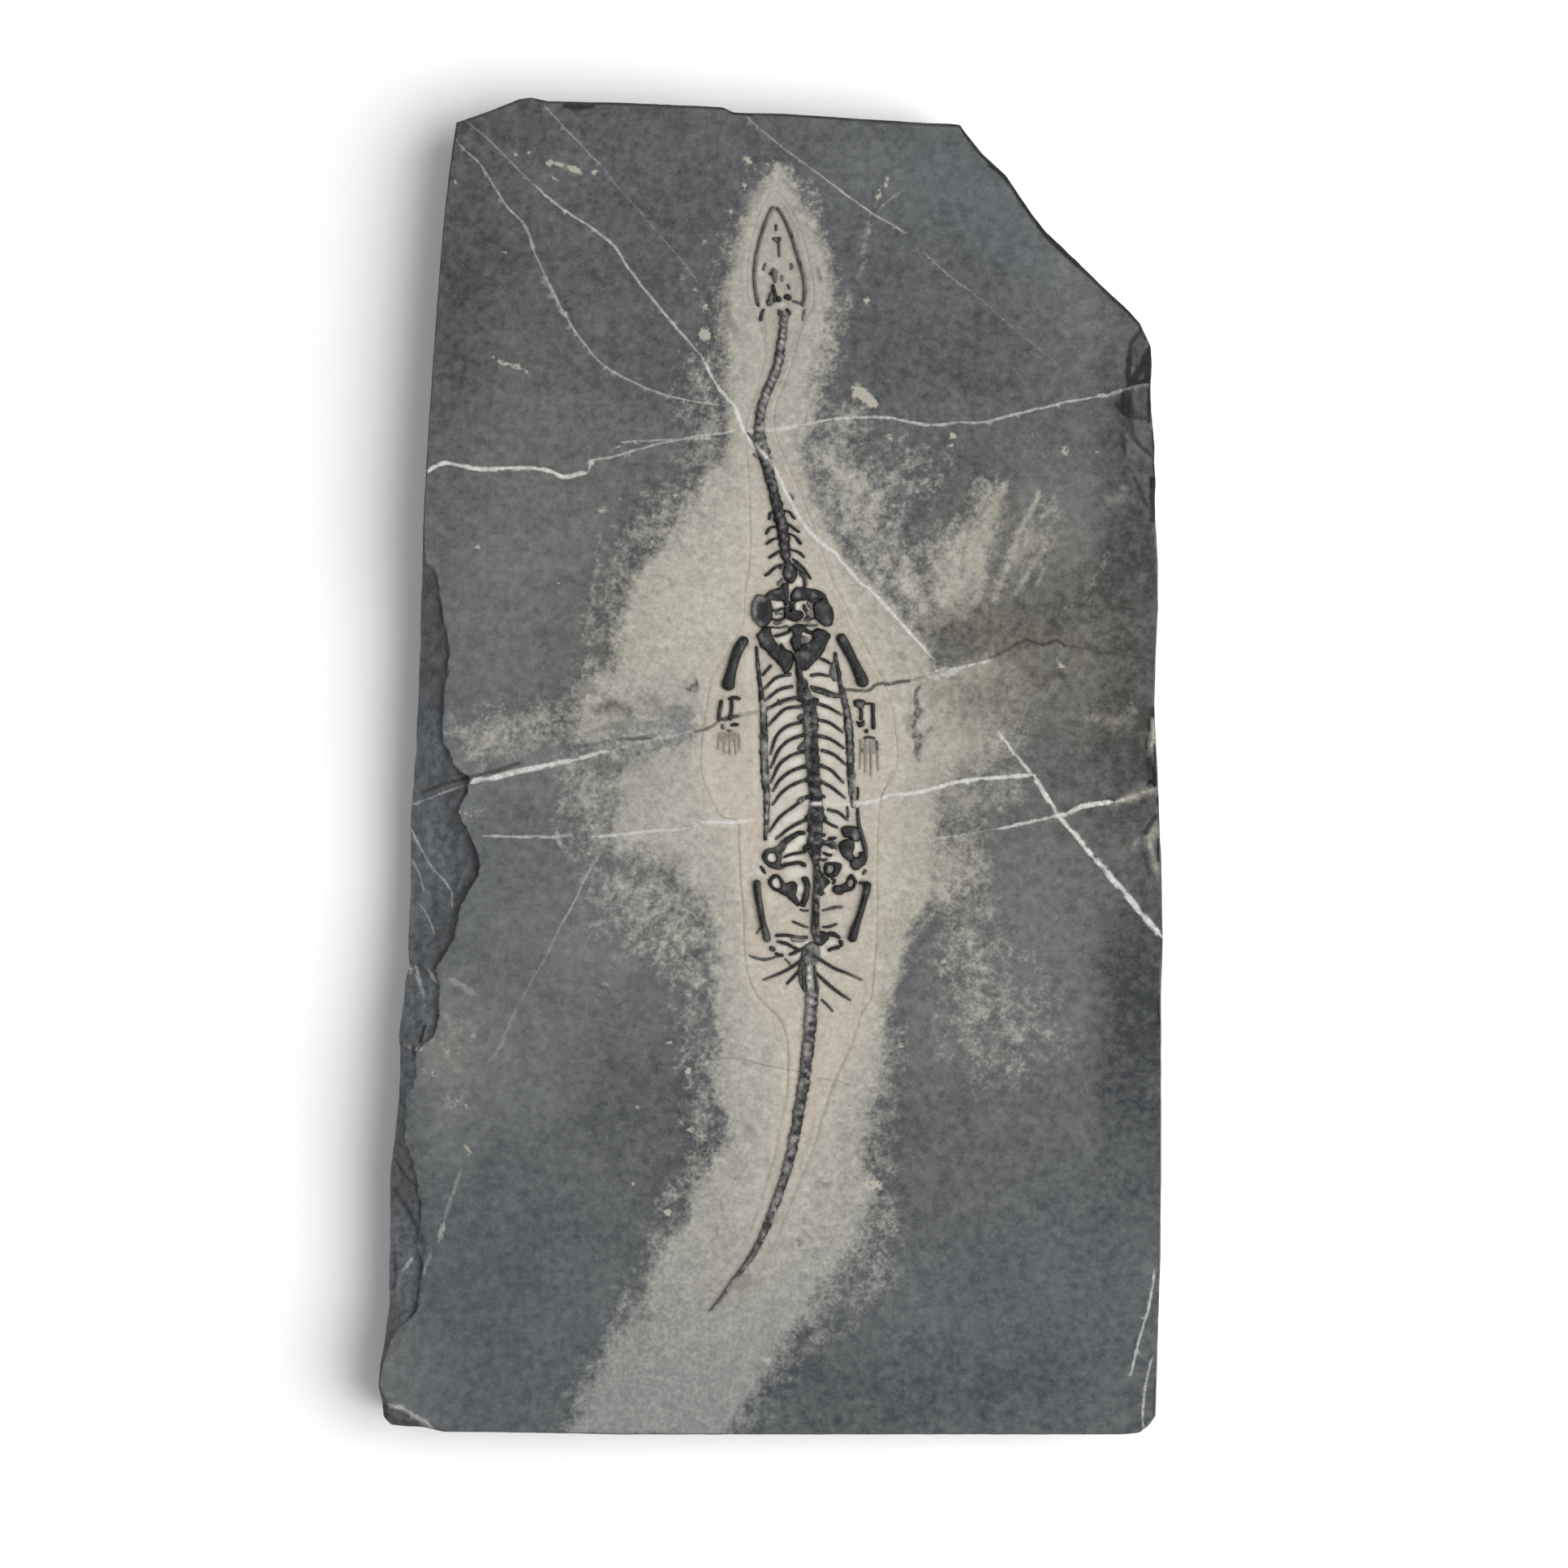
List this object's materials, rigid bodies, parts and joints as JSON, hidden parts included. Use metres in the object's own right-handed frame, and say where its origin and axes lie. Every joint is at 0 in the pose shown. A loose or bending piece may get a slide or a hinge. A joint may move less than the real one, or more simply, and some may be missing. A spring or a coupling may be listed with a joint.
{
  "type": "fossil marine reptile skeleton",
  "caption": "Stone slab with the flattened black skeleton of a small long-necked marine reptile, lying on its flat underside with the fossil facing up.",
  "frame": {"origin": "centre of the slab's bounding box, on the plane of its flat underside", "axes": "+Z out of the face that carries the fossil, +Y along the slab's long side towards the skull, +X across the slab to the right as seen from above"},
  "size_m": [0.1644, 0.2804, 0.0193],
  "materials": {
    "limestone": "dark grey fine-grained limestone, matt, with a pale scraped zone around the skeleton",
    "black_bone": "fossil bone, nearly black, satin"
  },
  "bodies": {
    "root": {"braincase": "black_bone", "caudal_rib_left_1": "black_bone", "caudal_rib_left_2": "black_bone", "caudal_rib_right_1": "black_bone", "caudal_rib_right_2": "black_bone", "clavicle_left": "black_bone", "clavicle_right": "black_bone", "coracoid_left": "black_bone", "coracoid_right": "black_bone", "femur_left": "black_bone", "femur_right": "black_bone", "fibula_left": "black_bone", "fibula_right": "black_bone", "humerus_left": "black_bone", "humerus_right": "black_bone", "ilium_left": "black_bone", "ilium_right": "black_bone", "ischium_left": "black_bone", "ischium_right": "black_bone", "mandible_left": "black_bone", "mandible_right": "black_bone", "neck_vertebrae": "black_bone", "palate": "black_bone", "pubis_left": "black_bone", "pubis_right": "black_bone", "radius_left": "black_bone", "radius_right": "black_bone", "rib_left_01": "black_bone", "rib_left_02": "black_bone", "rib_left_03": "black_bone", "rib_left_04": "black_bone", "rib_left_05": "black_bone", "rib_left_06": "black_bone", "rib_left_07": "black_bone", "rib_left_08": "black_bone", "rib_left_09": "black_bone", "rib_left_10": "black_bone", "rib_left_11": "black_bone", "rib_left_12": "black_bone", "rib_right_01": "black_bone", "rib_right_02": "black_bone", "rib_right_03": "black_bone", "rib_right_04": "black_bone", "rib_right_05": "black_bone", "rib_right_06": "black_bone", "rib_right_07": "black_bone", "rib_right_08": "black_bone", "rib_right_09": "black_bone", "scapula_left": "black_bone", "scapula_right": "black_bone", "shoulder_vertebrae": "black_bone", "side_strip_left": "black_bone", "side_strip_right": "black_bone", "slab": "limestone", "tail_vertebrae": "black_bone", "tibia_left": "black_bone", "tibia_right": "black_bone", "trunk_vertebrae": "black_bone", "ulna_left": "black_bone", "ulna_right": "black_bone"}
  },
  "joints": []
}
